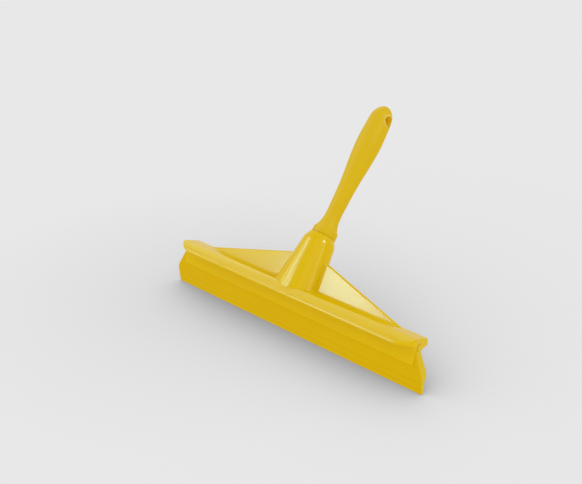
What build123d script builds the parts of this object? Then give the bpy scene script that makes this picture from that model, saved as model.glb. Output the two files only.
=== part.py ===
from build123d import *
import os
from math import cos, radians, sin

# Hand squeegee: X runs along the blade, +Y to the back, +Z up, in millimetres.
# The origin is the middle of the wiping edge, on the surface that it wipes.

# Wiping blade
blade_width = 300.0
tip_thickness = 2.4
tip_edge_radius = 0.3
blade_reach = 25.2            # wiping edge to the bottom of the aprons
step_heights = (5.0, 11.7)    # two fine steps along the front face
step_depth = 0.6
front_bend_z = 22.0           # the front face is upright below this height
bend_radius = 25.0            # bends in the front and back faces
lip_back_y = 2.3              # back face at the top of the thin wiping lip
lip_back_z = 11.5
back_bend_y = 4.9             # back face where it turns upright
back_bend_z = 18.3
groove_radius = 0.9           # flex groove along the back at the bend
end_overhang = 9.5            # blade past each end of the frame
elbow_z = 18.0                # the ends are upright below this height
elbow_radius = 8.0
flare_rise = 1.8              # top of the flared ends above the cap's underside
flare_front_y = 1.0           # front and back of the blade at that height
flare_back_y = 6.8

# Blade root, a tapered tongue with a round bead on top
root_bottom_thickness = 5.2
root_top_thickness = 3.8
root_overlap = 2.0            # the tongue starts this deep in the blade
bead_radius = 3.2
bead_y = 5.4
bead_rise = 4.1               # bead centre above the cap's underside
root_end_rise = 0.5           # the root stands out of the frame's ends by this much
root_fit = 0.05               # clearance of the root in its channel

# Aprons and cap
apron_height = 10.2
apron_front_y = -2.6          # outer faces at the bottom edge
apron_back_y = 7.0
apron_edge_radius = 0.5
neck_front_y = 2.4            # front of the neck under the lip
neck_back_y = 9.0             # back of the neck under the cap
front_cove_radius = 6.0
back_cove_radius = 3.5
crest_y = 1.0
crest_radius = 5.0
cap_bow = 0.5                 # the top bows up by this much between the lip and the crest
cap_back_height = 7.0         # blunt back edge of the cap
cap_back_lean = 0.5
cap_back_radius = 1.1
crest_rise = 7.0              # crest above the back edge
crest_to_back = 17.4
crest_to_lip = 10.9
lip_drop = 3.6                # lip centre below the crest
lip_radius = 1.5              # rounded bead along the lip
lip_blend_radius = 1.2        # where the bead runs into the cap
lip_plate_top = 1.0           # the cap's top and underside at the bead, from its centre
lip_plate_bottom = 0.9
lip_root_drop = 1.7           # the underside falls by this much towards the neck
corner_length = 18.5          # front corners of the cap, cut back along an arc
corner_depth = 9.3
corner_radius = 30.0
corner_edge_radius = 0.8
end_edge_radius = 0.8

# Handle axis, leaning back from upright
handle_tilt = 41.75
axis_foot_y = 10.2            # where the axis meets the level of the cap's underside
socket_height = 59.8          # from there to the socket's rim, along the axis

# Triangular web in the plane of the handle axis, heights along the axis from its foot
web_thickness = 5.4
web_apex_height = 42.6
web_root_height = 4.5
web_end_inset = 5.9           # the web stops this far from the frame's ends
web_edge_radius = 1.6
web_cove_radius = 1.5         # where the web's front runs into the cap

# Socket boss
boss_rim_margin = 2.7         # the boss is wider than the collar by this much
boss_offset = 1.3             # the boss stands forward of the axis
boss_base_half_width = 25.3
boss_base_half_depth = 18.6
boss_base_depth = 4.0         # base below the axis foot
boss_blend_radius = 1.4       # where the boss runs into the cap and web
shoulder_inset = 2.2
shoulder_drop = 6.5
shoulder_radius = 9.0
rim_edge_radius = 0.4

# Thread between handle and socket, coarse and rounded
thread_pitch = 5.0
thread_radius = 9.2           # mean radius on the spigot
thread_throw = 0.7            # half the depth of the thread
thread_fit = 0.25             # radial clearance
thread_length = 26.0
relief_depth = 0.1            # plain neck between collar and thread, below the thread's root
relief_length = 3.0
pilot_depth = 0.3             # plain end of the spigot, below the thread's root
pilot_length = 3.0
pilot_chamfer = 1.0
bore_relief = 0.15            # plain ends of the bore are wider than the thread by this much
bore_end_gap = 3.0            # free depth below the spigot

# Seal ring under the collar
seal_thickness = 0.8
seal_seat = 1.8               # width of the ring's seat on the rim
seal_fit = 0.3                # clearance round the spigot's plain neck

# Grip, heights along the axis from the socket's rim or back from the tip
handle_length = 140.0
collar_overhang = 0.1         # the collar is wider than the seal ring by this much
collar_top = 6.2
collar_edge_radius = 0.3
collar_flare = 1.4            # the flare starts this steeply above the collar
flare_radius = 9.16           # concave flare above the collar
flare_height = 12.0
neck_radius = 7.8
neck_height = 19.0
waist_radius = 7.75
waist_height = 33.0
rise_radius = 8.6             # midway between waist and swell
swell_radius = 10.6
swell_from_tip = 64.0
belly_radius = 12.2
belly_from_tip = 38.0
crown_radius = 11.3           # rounded end of the grip
crown_from_tip = 18.0
dome_radius = 9.6
dome_from_tip = 8.0
hang_hole_radius = 4.3
hang_hole_from_tip = 14.0
hang_hole_edge = 1.8
core_wall = 4.0               # the grip is cored out from the spigot's end
core_from_tip = 46.0

# Derived sizes
blade_half = blade_width / 2
frame_half = blade_half - end_overhang
cap_underside = blade_reach + apron_height
cap_back_top = cap_underside + cap_back_height
cap_back_y = crest_y + crest_to_back
crest_z = cap_back_top + crest_rise
lip_y = crest_y - crest_to_lip
lip_z = crest_z - lip_drop
lip_front_y = lip_y - lip_radius
bead_z = cap_underside + bead_rise
tip_front_y = -tip_thickness / 2
root_y = (apron_front_y + apron_back_y) / 2
flare_top = cap_underside + flare_rise
web_half = frame_half - web_end_inset
bore_radius = thread_radius + thread_fit + thread_throw + bore_relief
relief_radius = thread_radius - thread_throw - relief_depth
pilot_radius = thread_radius - thread_throw - pilot_depth
core_radius = pilot_radius - core_wall
spigot_length = relief_length + thread_length + pilot_length
seal_outer_radius = bore_radius + seal_seat
collar_radius = seal_outer_radius + collar_overhang
boss_rim_radius = collar_radius + boss_rim_margin
swell_height = handle_length - swell_from_tip
rise_height = (waist_height + swell_height) / 2

# Planes along and across the handle axis
axis_foot = Vector(0, axis_foot_y, cap_underside)
axis_direction = Vector(0, sin(radians(handle_tilt)), cos(radians(handle_tilt)))
front_direction = Vector(0, -cos(radians(handle_tilt)), sin(radians(handle_tilt)))
rim_centre = axis_foot + axis_direction * socket_height
handle_axis = Axis(rim_centre, axis_direction)
web_plane = Plane(axis_foot, x_dir=(1, 0, 0), z_dir=front_direction)
axis_in_section = Vector(axis_direction.Y, axis_direction.Z)
web_front_top = axis_in_section * web_apex_height + (
    axis_foot_y + front_direction.Y * web_thickness / 2,
    cap_underside + front_direction.Z * web_thickness / 2,
)
side_plane = Plane(rim_centre, x_dir=-front_direction, z_dir=(1, 0, 0))


def across_axis(height):
    """Plane square to the handle axis, at a height along it from the socket's rim."""
    return Plane(rim_centre + axis_direction * height, x_dir=(1, 0, 0), z_dir=axis_direction)


def web_outline(inset):
    """Triangle in the web's plane, its upper edges lower by the inset."""
    with BuildLine() as outline:
        Polyline(
            (-web_half, web_root_height - inset),
            (web_half, web_root_height - inset),
            (0, web_apex_height - inset),
            close=True,
        )
    make_face(outline.edges())


def boss_section(half_width, half_depth):
    """Oval across the handle axis, in two halves that meet at the front and back."""
    with BuildLine() as outline:
        for start in (90, 270):
            EllipticalCenterArc(
                (0, -boss_offset), half_width, half_depth, start_angle=start, arc_size=180
            )
    make_face(outline.edges())


def root_section(gap):
    """Outline of the blade's tongue and bead, smaller by the gap all round."""
    low = root_bottom_thickness / 2 - gap
    high = root_top_thickness / 2 - gap
    start_z = blade_reach - root_overlap
    with BuildLine() as outline:
        Polyline(
            (root_y - low, start_z),
            (root_y + low, start_z),
            (root_y + low, blade_reach),
            (bead_y + high, bead_z),
            (bead_y - high, bead_z),
            (root_y - low, blade_reach),
            close=True,
        )
    make_face(outline.edges())
    with Locations((bead_y, bead_z)):
        Circle(bead_radius - gap)


def rounded_thread(radius, mode):
    """Thread below the collar's neck: a round section whose centre winds about the axis."""
    with BuildLine() as winding:
        Helix(
            pitch=thread_pitch,
            height=thread_length,
            radius=thread_throw,
            center=rim_centre - axis_direction * (relief_length + thread_length),
            direction=axis_direction,
        )
    with BuildSketch(Plane(winding.line @ 0, z_dir=axis_direction)) as section:
        Circle(radius)
    sweep(sections=section.sketch, path=winding.wires()[0], normal=axis_direction, mode=mode)


# Socket boss, round at the rim and wider along the blade at its base
with BuildPart() as socket:
    with BuildSketch(across_axis(-socket_height - boss_base_depth)):
        boss_section(boss_base_half_width, boss_base_half_depth)
    with BuildSketch(across_axis(0)):
        boss_section(boss_rim_radius, boss_rim_radius)
    loft()
    rim_face = socket.faces().sort_by(handle_axis)[-1]
    chamfer(rim_face.edges(), length=shoulder_inset, length2=shoulder_drop, reference=rim_face)
    fillet(socket.edges().group_by(handle_axis)[-3], radius=shoulder_radius)
    fillet(socket.edges().group_by(handle_axis)[-1], radius=rim_edge_radius)
    split(bisect_by=Plane.XY.offset(cap_underside), keep=Keep.TOP)
    with Locations((0, neck_front_y, lip_z)):
        Box(
            2 * boss_base_half_width,
            boss_base_half_depth,
            socket_height,
            align=(Align.CENTER, Align.MAX, Align.MAX),
            mode=Mode.SUBTRACT,
        )

# Triangular web, rounded along its upper edges
with BuildPart() as web:
    with BuildSketch(web_plane):
        web_outline(0)
    extrude(amount=web_thickness / 2, both=True)
    upper_faces = web.faces().filter_by(lambda face: face.normal_at().dot(axis_direction) > 0.5)
    upper_edges = upper_faces.edges().filter_by(lambda edge: abs((edge % 0.5).X) > 0.5)
    fillet(upper_edges, radius=web_edge_radius)

# Cove between the front of the web and the back slope of the cap
with BuildPart() as web_cove:
    with BuildSketch(Plane.YZ):
        with BuildLine():
            cap_slope = Line((crest_y, crest_z), (cap_back_y, cap_back_top), mode=Mode.PRIVATE)
            web_front = IntersectingLine(
                start=web_front_top, direction=-axis_in_section, other=cap_slope, mode=Mode.PRIVATE
            )
            valley = web_front @ 1
            on_cap = valley - (cap_slope % 0) * 2 * web_cove_radius
            on_web = valley + axis_in_section * 2 * web_cove_radius
            FilletPolyline(on_cap, valley, on_web, radius=web_cove_radius)
            Polyline(on_web, (axis_foot_y, cap_underside), on_cap)
        make_face()
    extrude(amount=web_half, both=True)
    with BuildSketch(web_plane):
        web_outline(web_edge_radius)
    extrude(amount=web_thickness * 2, both=True, mode=Mode.INTERSECT)

# Frame: cap, aprons, web and socket, moulded in one
with BuildPart() as head_frame:
    with BuildSketch(Plane.YZ) as cap_section:
        with BuildLine():
            SagittaArc((lip_y, lip_z + lip_plate_top), (crest_y, crest_z), cap_bow)
            FilletPolyline(
                (crest_y, crest_z),
                (cap_back_y, cap_back_top),
                (cap_back_y + cap_back_lean, cap_underside),
                (neck_back_y, cap_underside),
                (apron_back_y, blade_reach),
                (apron_front_y, blade_reach),
                (neck_front_y, lip_z - lip_plate_bottom - lip_root_drop),
                (lip_y, lip_z - lip_plate_bottom),
                radius=(
                    cap_back_radius,
                    cap_back_radius,
                    back_cove_radius,
                    apron_edge_radius,
                    apron_edge_radius,
                    front_cove_radius,
                ),
            )
            Line((lip_y, lip_z - lip_plate_bottom), (lip_y, lip_z + lip_plate_top))
        make_face()
        fillet(cap_section.vertices().sort_by_distance((crest_y, crest_z))[:1], radius=crest_radius)
        with Locations((lip_y, lip_z)):
            Circle(lip_radius)
        fillet(cap_section.vertices().sort_by_distance((lip_y, lip_z))[:2], radius=lip_blend_radius)
    extrude(amount=frame_half, both=True)

    with BuildSketch(Plane.XY.offset(cap_underside)):
        with BuildLine():
            corner_arc = RadiusArc(
                (frame_half - corner_length, lip_front_y),
                (frame_half, lip_front_y + corner_depth),
                -corner_radius,
            )
            Polyline(
                corner_arc @ 1,
                (frame_half + corner_edge_radius, lip_front_y + corner_depth),
                (frame_half + corner_edge_radius, lip_front_y - corner_edge_radius),
                (frame_half - corner_length, lip_front_y - corner_edge_radius),
                corner_arc @ 0,
            )
        make_face()
        mirror(about=Plane.YZ)
    extrude(amount=crest_z - cap_underside, mode=Mode.SUBTRACT)
    fillet(head_frame.edges(Select.NEW), radius=corner_edge_radius)
    end_faces = head_frame.faces().group_by(Axis.X)
    fillet((end_faces[0] + end_faces[-1]).edges(), radius=end_edge_radius)

    add(web.part)
    add(web_cove.part)
    add(socket.part)
    fillet(head_frame.edges(Select.NEW), radius=boss_blend_radius)

    with BuildSketch(across_axis(0)):
        Circle(bore_radius)
    extrude(amount=-relief_length, mode=Mode.SUBTRACT)
    rounded_thread(thread_radius + thread_fit, Mode.SUBTRACT)
    with BuildSketch(across_axis(-relief_length - thread_length)):
        Circle(bore_radius)
    extrude(amount=-pilot_length - bore_end_gap, mode=Mode.SUBTRACT)

    with BuildSketch(Plane.YZ):
        root_section(0)
    extrude(amount=blade_half, both=True, mode=Mode.SUBTRACT)

# Blade: the section runs the whole width, and the frame takes its middle above the aprons
with BuildPart() as blade:
    with BuildSketch(Plane.YZ):
        with BuildLine():
            FilletPolyline(
                (tip_thickness / 2, 0),
                (tip_front_y, 0),
                (tip_front_y, step_heights[0]),
                (tip_front_y - step_depth, step_heights[0]),
                (tip_front_y - step_depth, step_heights[1]),
                (tip_front_y - 2 * step_depth, step_heights[1]),
                (tip_front_y - 2 * step_depth, front_bend_z),
                (flare_front_y, flare_top),
                (flare_back_y, flare_top),
                (back_bend_y, back_bend_z),
                (lip_back_y, lip_back_z),
                radius=(
                    tip_edge_radius,
                    tip_edge_radius,
                    0,
                    0,
                    0,
                    0,
                    bend_radius,
                    0,
                    0,
                    0,
                    bend_radius,
                ),
                close=True,
            )
        make_face()
        with Locations((back_bend_y, back_bend_z)):
            Circle(groove_radius, mode=Mode.SUBTRACT)
    extrude(amount=blade_half, both=True)
    with BuildSketch(Plane.XZ):
        with BuildLine():
            FilletPolyline(
                (blade_half, 0),
                (blade_half, elbow_z),
                (frame_half + root_fit, flare_top),
                (0, flare_top),
                (0, 0),
                radius=(0, elbow_radius, 0, 0, 0),
                close=True,
            )
        make_face()
        mirror(about=Plane.YZ)
    extrude(amount=flare_back_y * 2, both=True, mode=Mode.INTERSECT)
    with BuildSketch(Plane.XZ):
        with Locations((0, blade_reach - root_fit)):
            Rectangle(
                2 * (frame_half + root_fit), blade_half, align=(Align.CENTER, Align.MIN)
            )
    extrude(amount=flare_back_y * 2, both=True, mode=Mode.SUBTRACT)
    with BuildSketch(Plane.YZ):
        root_section(root_fit)
    extrude(amount=frame_half + root_end_rise, both=True)

# Seal ring, flat between the collar and the socket's rim
with BuildPart() as seal_ring:
    with BuildSketch(across_axis(0)):
        Circle(seal_outer_radius)
        Circle(relief_radius + seal_fit, mode=Mode.SUBTRACT)
    extrude(amount=seal_thickness)

# Handle: the grip is turned about the axis, with the threaded spigot below its collar
with BuildPart() as handle:
    with BuildSketch(side_plane):
        with BuildLine():
            grip_curve = Spline(
                (collar_radius, collar_top),
                (flare_radius, flare_height),
                (neck_radius, neck_height),
                (waist_radius, waist_height),
                (rise_radius, rise_height),
                (swell_radius, swell_height),
                (belly_radius, handle_length - belly_from_tip),
                tangents=((-1, collar_flare), (0, 1)),
                tangent_scalars=(1, 1),
            )
            Spline(
                grip_curve @ 1,
                (crown_radius, handle_length - crown_from_tip),
                (dome_radius, handle_length - dome_from_tip),
                (0, handle_length),
                tangents=((0, 1), (-1, 0)),
                tangent_scalars=(1, 1),
            )
            FilletPolyline(
                grip_curve @ 0,
                (collar_radius, seal_thickness),
                (relief_radius, seal_thickness),
                (relief_radius, -relief_length),
                (pilot_radius, -relief_length),
                (pilot_radius, -spigot_length + pilot_chamfer),
                (pilot_radius - pilot_chamfer, -spigot_length),
                (0, -spigot_length),
                radius=(collar_edge_radius, 0, 0, 0, 0, 0),
            )
            Line((0, -spigot_length), (0, handle_length))
        make_face()
    revolve(axis=handle_axis)
    rounded_thread(thread_radius, Mode.ADD)
    with BuildSketch(across_axis(-spigot_length)):
        Circle(core_radius)
    extrude(amount=spigot_length + handle_length - core_from_tip, mode=Mode.SUBTRACT)
    with BuildSketch(side_plane):
        with Locations((0, handle_length - hang_hole_from_tip)):
            Circle(hang_hole_radius)
    extrude(amount=belly_radius, both=True, mode=Mode.SUBTRACT)
    fillet(handle.edges(Select.NEW), radius=hang_hole_edge)

os.makedirs("parts", exist_ok=True)
pieces = {"head_frame": head_frame, "blade": blade, "seal_ring": seal_ring, "handle": handle}
for name, piece in pieces.items():
    piece.part.label = name
    export_step(piece.part, f"parts/{name}.step")
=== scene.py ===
import math

import bpy
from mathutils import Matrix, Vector

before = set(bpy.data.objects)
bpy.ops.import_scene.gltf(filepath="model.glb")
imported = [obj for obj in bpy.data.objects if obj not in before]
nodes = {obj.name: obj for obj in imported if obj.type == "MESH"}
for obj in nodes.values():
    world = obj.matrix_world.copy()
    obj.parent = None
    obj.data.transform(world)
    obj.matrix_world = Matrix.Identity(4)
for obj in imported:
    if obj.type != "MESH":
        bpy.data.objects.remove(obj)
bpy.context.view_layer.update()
scene = bpy.context.scene


# Frame of the squeegee: cap, lip, aprons, web and socket in one hard polypropylene moulding.
# It comes out of a polished steel mould in solid yellow, so its gloss is that of the mould.
# The blade is moulded into its underside, and the handle screws into its socket.

MM = 0.001


def linear(hex_colour):
    """Linear colour from an sRGB hex value."""
    channels = [int(hex_colour[i : i + 2], 16) / 255 for i in (1, 3, 5)]
    return [c / 12.92 if c <= 0.04045 else ((c + 0.055) / 1.055) ** 2.4 for c in channels] + [1.0]


def add_node(tree, kind, settings=None, **inputs):
    """A node with its settings, and a value or a link for each input: by name, or by number as in _6."""
    node = tree.nodes.new(kind)
    for name, value in (settings or {}).items():
        setattr(node, name, value)
    for name, value in inputs.items():
        number = name[1:]
        socket = node.inputs[int(number) if number.isdigit() else name.replace("_", " ")]
        if isinstance(value, bpy.types.NodeSocket):
            tree.links.new(value, socket)
        else:
            socket.default_value = value
    return node


def moulded_polypropylene(name, colour, deep_colour, clearest, dullest):
    """A mould's finish between two roughnesses, with reflections that waver a little."""
    material = bpy.data.materials.new(name)
    material.use_nodes = True
    tree = material.node_tree
    shader = tree.nodes["Principled BSDF"]
    shader.inputs["IOR"].default_value = 1.49
    shader.inputs["Specular IOR Level"].default_value = 0.1
    place = add_node(tree, "ShaderNodeTexCoord").outputs["Object"]

    # The pigment drifts a little along the flow of the melt.
    flow_width = 45 * MM
    flow = add_node(tree, "ShaderNodeTexNoise", Vector=place, Scale=1 / flow_width, Detail=2.0)
    tint = add_node(
        tree,
        "ShaderNodeMix",
        {"data_type": "RGBA"},
        _0=flow.outputs["Fac"],
        _6=linear(deep_colour),
        _7=linear(colour),
    )
    tree.links.new(tint.outputs[2], shader.inputs["Base Color"])

    # Hands and cloths have dulled the surface in patches.
    handling_width = 9 * MM
    handling = add_node(tree, "ShaderNodeTexNoise", Vector=place, Scale=1 / handling_width, Detail=4.0)
    gloss = add_node(
        tree,
        "ShaderNodeMapRange",
        Value=handling.outputs["Fac"],
        To_Min=clearest,
        To_Max=dullest,
    )
    tree.links.new(gloss.outputs["Result"], shader.inputs["Roughness"])

    # The wall has sunk a little here and there on cooling, which bends the reflections.
    sink_width, sink_depth = 14 * MM, 0.02 * MM
    sink = add_node(tree, "ShaderNodeTexNoise", Vector=place, Scale=1 / sink_width, Detail=1.0)
    ripple = add_node(
        tree,
        "ShaderNodeBump",
        Strength=1.0,
        Distance=sink_depth,
        Height=sink.outputs["Fac"],
    )
    tree.links.new(ripple.outputs["Normal"], shader.inputs["Normal"])
    return material


def paint(node, material):
    """The piece keeps its shape from the frame and takes this material in every slot."""
    for slot in nodes[node].material_slots:
        slot.material = material


# Polypropylene from a polished mould: a clear gloss with soft edges to its highlights.
polished = (0.14, 0.19)
frame_plastic = moulded_polypropylene("polypropylene, moulded, frame", "#dfbb00", "#dcb700", *polished)
tree = frame_plastic.node_tree
shader = tree.nodes["Principled BSDF"]
plain_tint = shader.inputs["Base Color"].links[0].from_socket
where = add_node(tree, "ShaderNodeTexCoord")
spot = add_node(tree, "ShaderNodeSeparateXYZ", Vector=where.outputs["Object"])

# The lip's upper edge carries a painted highlight: a fine pale line that stands in for a glint on its edge,
# stronger towards the right end.
faint_end, bright_end = -60 * MM, 40 * MM
least_highlight, most_highlight = 0.15, 0.9
lip_front, highlight_depth = -10.2 * MM, 0.4 * MM
highlight_facing = (0.0, -0.819, 0.574)
beside_edge, at_edge = 0.86, 0.95
highlight_along = add_node(
    tree,
    "ShaderNodeMapRange",
    Value=spot.outputs["X"],
    From_Min=faint_end,
    From_Max=bright_end,
    To_Min=least_highlight,
    To_Max=most_highlight,
)
on_lip = add_node(
    tree,
    "ShaderNodeMapRange",
    Value=spot.outputs["Y"],
    From_Min=lip_front,
    From_Max=lip_front - highlight_depth,
    To_Max=highlight_along.outputs["Result"],
)
turned = add_node(
    tree,
    "ShaderNodeVectorMath",
    {"operation": "DOT_PRODUCT"},
    _0=where.outputs["Normal"],
    _1=highlight_facing,
)
on_edge = add_node(
    tree,
    "ShaderNodeMapRange",
    Value=turned.outputs["Value"],
    From_Min=beside_edge,
    From_Max=at_edge,
)
painted_highlight = add_node(
    tree,
    "ShaderNodeMath",
    {"operation": "MULTIPLY"},
    _0=on_lip.outputs["Result"],
    _1=on_edge.outputs["Result"],
)
tint = add_node(
    tree,
    "ShaderNodeMix",
    {"data_type": "RGBA"},
    _0=painted_highlight.outputs[0],
    _6=plain_tint,
    _7=linear("#e5c966"),
)
tree.links.new(tint.outputs[2], shader.inputs["Base Color"])
paint("head_frame", frame_plastic)


# Wiping blade of soft thermoplastic rubber in the same yellow, moulded into the frame's channel.
# Rubber takes a duller surface than polypropylene does, and its two ends are cut to length.


def moulded_rubber(name, colour, deep_colour):
    """Satin skin: broad dull highlights and a fine even grain."""
    material = bpy.data.materials.new(name)
    material.use_nodes = True
    tree = material.node_tree
    shader = tree.nodes["Principled BSDF"]
    shader.inputs["IOR"].default_value = 1.5
    shader.inputs["Specular IOR Level"].default_value = 0.03
    place = add_node(tree, "ShaderNodeTexCoord").outputs["Object"]

    # The pigment drifts a little along the flow of the melt.
    flow_width = 30 * MM
    flow = add_node(tree, "ShaderNodeTexNoise", Vector=place, Scale=1 / flow_width, Detail=2.0)
    tint = add_node(
        tree,
        "ShaderNodeMix",
        {"data_type": "RGBA"},
        _0=flow.outputs["Fac"],
        _6=linear(deep_colour),
        _7=linear(colour),
    )
    tree.links.new(tint.outputs[2], shader.inputs["Base Color"])

    # The skin's real grain, about a tenth of a millimetre, is too fine to show and is drawn coarser.
    grain_width, grain_depth = 0.8 * MM, 0.01 * MM
    grain = add_node(tree, "ShaderNodeTexNoise", Vector=place, Scale=1 / grain_width, Detail=2.0)
    dullness = add_node(tree, "ShaderNodeMapRange", Value=grain.outputs["Fac"], To_Min=0.46, To_Max=0.52)
    tree.links.new(dullness.outputs["Result"], shader.inputs["Roughness"])
    skin = add_node(
        tree,
        "ShaderNodeBump",
        Strength=0.12,
        Distance=grain_depth,
        Height=grain.outputs["Fac"],
    )
    tree.links.new(skin.outputs["Normal"], shader.inputs["Normal"])
    return material


blade_rubber = moulded_rubber("thermoplastic rubber, moulded, blade", "#d9b100", "#d6ad00")
tree = blade_rubber.node_tree
shader = tree.nodes["Principled BSDF"]
skin_tint = shader.inputs["Base Color"].links[0].from_socket
where = add_node(tree, "ShaderNodeTexCoord")

# Painted shade just under the two steps of the front draws them as fine dark lines.
step_heights = (5.0 * MM, 11.7 * MM)
step_shade_reach, step_shade_start = 1.3 * MM, 0.1 * MM
ruler_top = 20 * MM
height = add_node(tree, "ShaderNodeSeparateXYZ", Vector=where.outputs["Object"]).outputs["Z"]
share = add_node(tree, "ShaderNodeMath", {"operation": "DIVIDE"}, _0=height, _1=ruler_top)
step_shade = add_node(tree, "ShaderNodeValToRGB", Fac=share.outputs[0])
stops = step_shade.color_ramp.elements
stops[0].color = stops[1].color = (0.0, 0.0, 0.0, 1.0)
for step in step_heights:
    for below, level in ((step_shade_reach, 0.0), (step_shade_start, 1.0), (0.0, 0.0)):
        stop = stops.new((step - below) / ruler_top)
        stop.color = (level, level, level, 1.0)
lined = add_node(
    tree,
    "ShaderNodeMix",
    {"data_type": "RGBA"},
    _0=step_shade.outputs["Color"],
    _6=skin_tint,
    _7=linear("#cca200"),
)

# A face that looks along the blade, as the cut ends do, is painted paler: painted light and sheen on the
# ends.
skin_turn, cut_turn = 0.5, 0.9
facing = add_node(tree, "ShaderNodeSeparateXYZ", Vector=where.outputs["Normal"]).outputs["X"]
facing = add_node(tree, "ShaderNodeMath", {"operation": "ABSOLUTE"}, _0=facing)
painted_end_light = add_node(tree, "ShaderNodeMapRange", Value=facing.outputs[0], From_Min=skin_turn, From_Max=cut_turn)
ended = add_node(
    tree,
    "ShaderNodeMix",
    {"data_type": "RGBA"},
    _0=painted_end_light.outputs["Result"],
    _6=lined.outputs[2],
    _7=linear("#dbb928"),
)
tree.links.new(ended.outputs[2], shader.inputs["Base Color"])
paint("blade", blade_rubber)


# Seal ring: a thin washer of thermoplastic rubber, cut from a moulded tube.
# The handle's collar presses it on the socket's rim, and only its outer edge shows, as a fine line.

paint("seal_ring", moulded_rubber("thermoplastic rubber, cut, ring", "#d6ae00", "#d2a900"))


# Handle: a hard polypropylene hand grip in one moulding, with a spigot that screws into the socket.
# Its own mould is etched so that wet hands hold it, and its yellow is a shade apart from the frame's.

# Polypropylene from an etched mould: matt, with a broad soft sheen.
etched = (0.50, 0.58)
grip_plastic = moulded_polypropylene("polypropylene, moulded, grip", "#dab600", "#d7b200", *etched)
tree = grip_plastic.node_tree
shader = tree.nodes["Principled BSDF"]
tint = shader.inputs["Base Color"].links[0].from_socket

# Place round the hang hole, seen along the hole's own axis, and distance from that axis.
hole_radius = 4.3 * MM
hole_place = (0.0, 133.92 * MM, 174.02 * MM)
across_hole = (0.0, 1.0, 1.0)
where = add_node(tree, "ShaderNodeTexCoord").outputs["Object"]
beside = add_node(tree, "ShaderNodeVectorMath", {"operation": "MULTIPLY"}, _0=where, _1=across_hole)
beside = beside.outputs[0]
away = add_node(tree, "ShaderNodeVectorMath", {"operation": "DISTANCE"}, _0=beside, _1=hole_place)
aside = add_node(tree, "ShaderNodeVectorMath", {"operation": "SUBTRACT"}, _0=beside, _1=hole_place)

# A painted highlight lies round the hole's mouth, strongest along its upper side.
highlight_start, highlight_end = 1.5 * MM, 3.2 * MM
highlight_side = (0.0, -0.45, 0.89)
most_highlight = 0.7
round_mouth = add_node(
    tree,
    "ShaderNodeMapRange",
    Value=away.outputs["Value"],
    From_Min=hole_radius + highlight_end,
    From_Max=hole_radius + highlight_start,
)
above = add_node(
    tree,
    "ShaderNodeVectorMath",
    {"operation": "DOT_PRODUCT"},
    _0=aside.outputs[0],
    _1=highlight_side,
)
upper_side = add_node(
    tree,
    "ShaderNodeMapRange",
    Value=above.outputs["Value"],
    From_Min=-hole_radius / 2,
    From_Max=hole_radius / 2,
    To_Max=most_highlight,
)
painted_highlight = add_node(
    tree,
    "ShaderNodeMath",
    {"operation": "MULTIPLY"},
    _0=round_mouth.outputs["Result"],
    _1=upper_side.outputs["Result"],
)
tint = add_node(
    tree,
    "ShaderNodeMix",
    {"data_type": "RGBA"},
    _0=painted_highlight.outputs[0],
    _6=tint,
    _7=linear("#ecd580"),
).outputs[2]

# Painted shade darkens the rounding of the mouth; the wall inside is painted brighter, as light bouncing
# in.
painted_mouth_shade, painted_wall_light = "#cda000", "#f0cc00"
for colour, start, end in ((painted_mouth_shade, 0.9 * MM, 1.4 * MM), (painted_wall_light, 0.0, 0.4 * MM)):
    outside = add_node(
        tree,
        "ShaderNodeMapRange",
        Value=away.outputs["Value"],
        From_Min=hole_radius + start,
        From_Max=hole_radius + end,
    )
    tint = add_node(
        tree,
        "ShaderNodeMix",
        {"data_type": "RGBA"},
        _0=outside.outputs["Result"],
        _6=linear(colour),
        _7=tint,
    ).outputs[2]
tree.links.new(tint, shader.inputs["Base Color"])
paint("handle", grip_plastic)


# Studio floor: a wide sheet of pale paper, lying flat under the squeegee.
# It is matt and evenly bright, with the squeegee's soft shadow and a painted one round the blade's left
# end.

floor_reach, floor_level = 8.0, -0.1 * MM
corners = [(x * floor_reach, y * floor_reach, floor_level) for x, y in ((-1, -1), (1, -1), (1, 1), (-1, 1))]
floor_mesh = bpy.data.meshes.new("floor")
floor_mesh.from_pydata(corners, [], [(0, 1, 2, 3)])
floor = bpy.data.objects.new("floor", floor_mesh)
scene.collection.objects.link(floor)

paper = bpy.data.materials.new("paper sweep, matt")
paper.use_nodes = True
tree = paper.node_tree
tree.nodes.clear()

# Painted shadow: the paper is a shade darker round the left end of the blade.
painted_shade_middle = (-0.13, 0.0, 0.0)
painted_shade_core, painted_shade_reach = 0.08, 0.26
place = add_node(tree, "ShaderNodeTexCoord").outputs["Object"]
spread = add_node(tree, "ShaderNodeVectorMath", {"operation": "DISTANCE"}, _0=place, _1=painted_shade_middle)
fade = add_node(
    tree,
    "ShaderNodeMapRange",
    Value=spread.outputs["Value"],
    From_Min=painted_shade_core,
    From_Max=painted_shade_reach,
)
paper_and_painted_shade = add_node(
    tree,
    "ShaderNodeMix",
    {"data_type": "RGBA"},
    _0=fade.outputs["Result"],
    _6=linear("#e1e1e1"),
    _7=linear("#e8e8e8"),
)

# The shadow falls a little to the back right, away from the side that most light comes from.
shade_reach = 0.5
light_side = add_node(tree, "ShaderNodeCombineXYZ", X=-0.10, Y=-0.13, Z=1.0)
light_side = add_node(tree, "ShaderNodeVectorMath", {"operation": "NORMALIZE"}, _0=light_side.outputs[0])
shade = add_node(
    tree,
    "ShaderNodeAmbientOcclusion",
    {"samples": 32},
    Color=paper_and_painted_shade.outputs[2],
    Distance=shade_reach,
    Normal=light_side.outputs[0],
)

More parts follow.
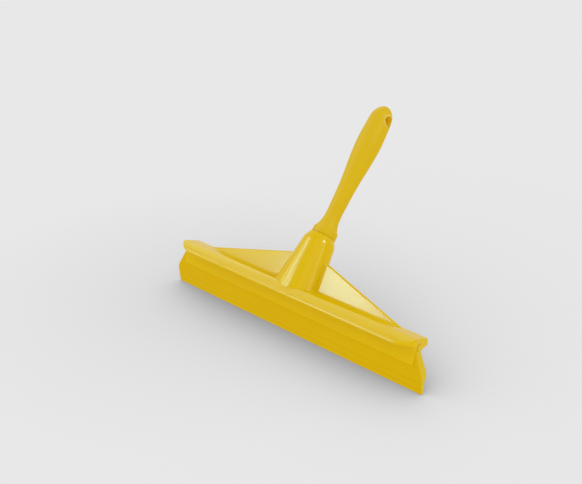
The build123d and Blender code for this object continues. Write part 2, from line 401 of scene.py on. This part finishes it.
# Seen directly, mirrored or through something clear, the paper has its tone. To the squeegee it is white.
path = add_node(tree, "ShaderNodeLightPath")
seen = path.outputs["Is Camera Ray"]
for ray in ("Is Glossy Ray", "Is Transmission Ray"):
    seen = add_node(
        tree,
        "ShaderNodeMath",
        {"operation": "MAXIMUM"},
        _0=seen,
        _1=path.outputs[ray],
    ).outputs[0]
bounce = add_node(tree, "ShaderNodeEmission", Color=linear("#ffffff"), Strength=1.0)
glow = add_node(tree, "ShaderNodeEmission", Color=shade.outputs["Color"], Strength=1.0)
blend = add_node(tree, "ShaderNodeMixShader", _0=seen, _1=bounce.outputs[0], _2=glow.outputs[0])
add_node(tree, "ShaderNodeOutputMaterial", Surface=blend.outputs[0])
floor_mesh.materials.append(paper)


# Studio light: even white light from all round, which gives the colours as they are written.
# Seven soft boxes light the gloss only. Those on the left are slightly cool, so that their shine
# on the yellow stays pale.

target = Vector((0.0, 0.04, 0.05))
box_distance = 2.5
for name, direction, width, height, power, tint in (
    ("strip box, front left", (-0.512, -0.565, 0.647), 0.40, 0.34, 24.0, "#bcf6ff"),
    ("slim box, left", (-0.686, -0.38, 0.618), 0.30, 0.50, 12.0, "#bcf6ff"),
    ("soft box, front left", (-0.786, -0.383, 0.485), 1.41, 0.79, 28.0, "#caffdc"),
    ("soft box, back left", (-0.575, 0.48, 0.662), 1.6, 1.8, 27.0, "#ccffff"),
    ("soft box, overhead", (0.406, -0.341, 0.848), 2.0, 2.0, 18.0, "#ffffff"),
    ("soft box, right", (0.866, -0.075, 0.5), 0.8, 0.8, 9.0, "#ffffff"),
    ("soft box, back right", (0.653, 0.238, 0.719), 0.88, 0.61, 58.0, "#ffffff"),
):
    lamp = bpy.data.lights.new(name, "AREA")
    lamp.shape = "RECTANGLE"
    lamp.size, lamp.size_y = width, height
    lamp.energy = power
    lamp.color = linear(tint)[:3]
    box = bpy.data.objects.new(name, lamp)
    scene.collection.objects.link(box)
    way = Vector(direction).normalized()
    box.location = target + way * box_distance
    box.rotation_euler = way.to_track_quat("Z", "Y").to_euler()
    box.visible_diffuse = False

world = bpy.data.worlds.new("studio")
scene.world = world
world.use_nodes = True
tree = world.node_tree
tree.nodes.clear()
path = add_node(tree, "ShaderNodeLightPath")
even_light = add_node(tree, "ShaderNodeBackground", Color=linear("#ffffff"), Strength=1.0)
backdrop = add_node(tree, "ShaderNodeBackground", Color=linear("#e8e8e8"), Strength=1.0)
blend = add_node(
    tree,
    "ShaderNodeMixShader",
    _0=path.outputs["Is Camera Ray"],
    _1=even_light.outputs[0],
    _2=backdrop.outputs[0],
)
add_node(tree, "ShaderNodeOutputWorld", Surface=blend.outputs[0])


# Camera: a normal lens on a full-frame sensor, standing at the front right of the squeegee.
# It looks down at the front of the blade, and its angles are in degrees.

camera_data = bpy.data.cameras.new("camera")
camera_data.lens = 50.0
camera_data.sensor_width = 36.0
camera = bpy.data.objects.new("camera", camera_data)
scene.collection.objects.link(camera)
camera.location = (433.4 * MM, -481.9 * MM, 408.6 * MM)
camera_azimuth, camera_height = 41.685, 26.0
camera.rotation_euler = (math.radians(90 - camera_height), 0.0, math.radians(camera_azimuth))
scene.camera = camera
scene.view_settings.view_transform = "Standard"
